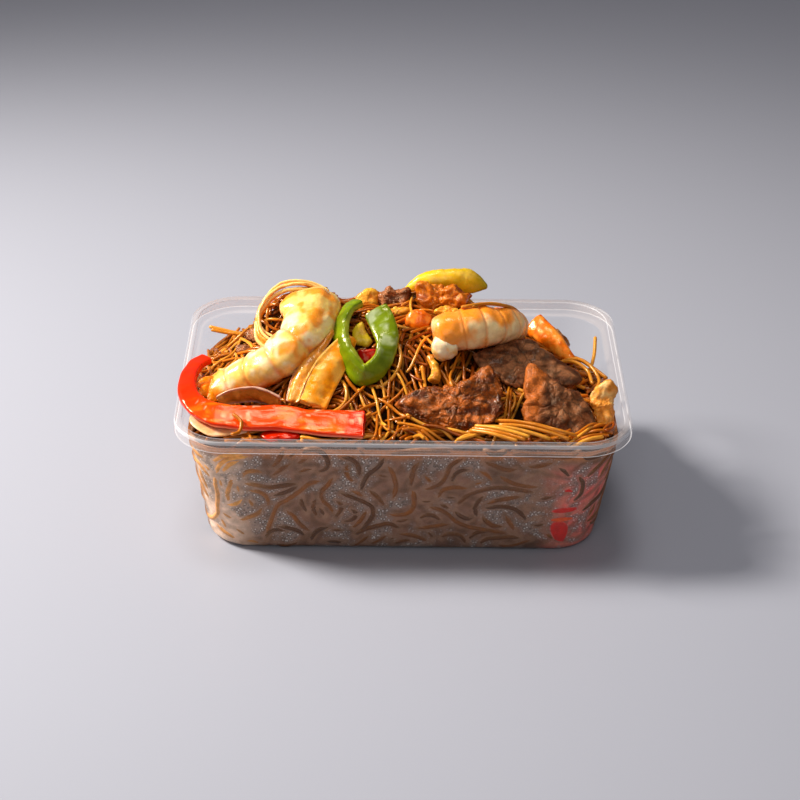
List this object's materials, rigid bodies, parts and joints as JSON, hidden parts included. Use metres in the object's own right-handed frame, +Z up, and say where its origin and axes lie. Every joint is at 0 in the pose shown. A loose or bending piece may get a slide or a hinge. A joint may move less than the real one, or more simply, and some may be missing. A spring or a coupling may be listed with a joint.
{
  "type": "takeaway noodle box",
  "caption": "Rectangular clear plastic takeaway box heaped with stir-fried rice noodles, prawns, sliced beef, chicken, peppers and onion",
  "frame": {"origin": "centre of the box's base, on the table", "axes": "+X along the long side, +Y to the back, +Z up"},
  "size_m": [0.172, 0.12, 0.0845],
  "materials": {
    "container": "clear, slightly milky thin polypropylene",
    "noodle": "thin rice noodle, translucent and glazed with brown sauce",
    "prawn": "cooked prawn, cream with a yellow-orange glaze",
    "prawn_shell": "orange tail shell, glossy",
    "red_pepper": "red skin and orange flesh, wet",
    "green_pepper": "green skin, wet",
    "onion": "translucent fried onion, amber with a purple edge",
    "spring_onion": "yellow-green stem, wet",
    "beef": "brown sliced beef with a coarse grain, moist",
    "pork": "dark glazed pork",
    "chicken": "glazed chicken, orange-brown",
    "egg": "soft yellow egg, glazed",
    "fried": "golden fried piece with a rough skin"
  },
  "bodies": {
    "root": {"box": "container", "noodles": "noodle", "prawn_left": "prawn", "prawn_right": "prawn", "prawn_tail_left": "prawn_shell", "prawn_tail_right": "prawn_shell", "green_pepper": "green_pepper", "red_pepper_long": "red_pepper", "red_pepper_under": "red_pepper", "red_pepper_mid_left": "red_pepper", "red_pepper_mid_right": "red_pepper", "red_pepper_corner": "red_pepper", "onion_left_a": "onion", "onion_left_b": "onion", "onion_ring": "onion", "onion_arc": "onion", "onion_corner": "onion", "spring_onion_top": "spring_onion", "spring_onion_mid": "spring_onion", "beef_front": "beef", "beef_right": "beef", "beef_back": "beef", "chicken_top": "chicken", "chicken_top_low": "chicken", "chicken_back": "chicken", "chicken_mid": "chicken", "egg_top": "egg", "egg_low": "egg", "pork_top": "pork", "pork_left": "pork", "pork_left_small": "pork", "fried_piece": "fried"}
  },
  "joints": []
}
